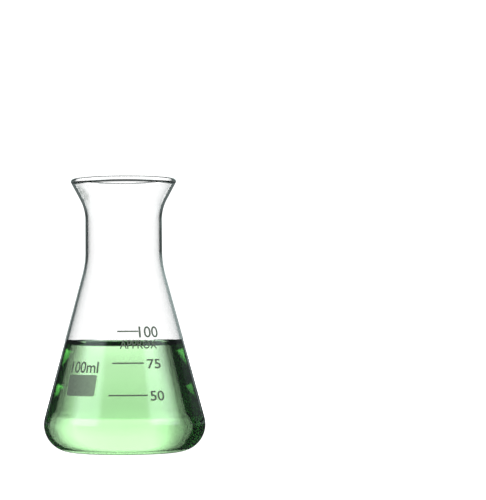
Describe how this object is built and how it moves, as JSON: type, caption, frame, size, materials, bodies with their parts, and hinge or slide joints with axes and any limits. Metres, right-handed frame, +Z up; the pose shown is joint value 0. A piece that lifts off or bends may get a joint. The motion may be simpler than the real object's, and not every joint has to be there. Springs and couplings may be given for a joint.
{
  "type": "wide mouth erlenmeyer flask",
  "caption": "Conical glass laboratory flask with a wide flared mouth, enamel volume scale and writing patch, partly filled with a green liquid.",
  "frame": {"origin": "on the flask's axis, in the plane that it stands on", "axes": "+Z up along the flask's axis, towards the mouth; the volume scale faces -Y, +X to its right"},
  "size_m": [0.0636, 0.0636, 0.1071],
  "materials": {
    "clear_glass": "clear polished borosilicate glass",
    "green_liquid": "clear green water-like liquid",
    "enamel": "matt grey fired enamel"
  },
  "bodies": {
    "root": {"flask": "clear_glass", "liquid": "green_liquid", "scale_line_100": "enamel", "scale_line_75": "enamel", "scale_line_50": "enamel", "writing_patch": "enamel"}
  },
  "joints": []
}
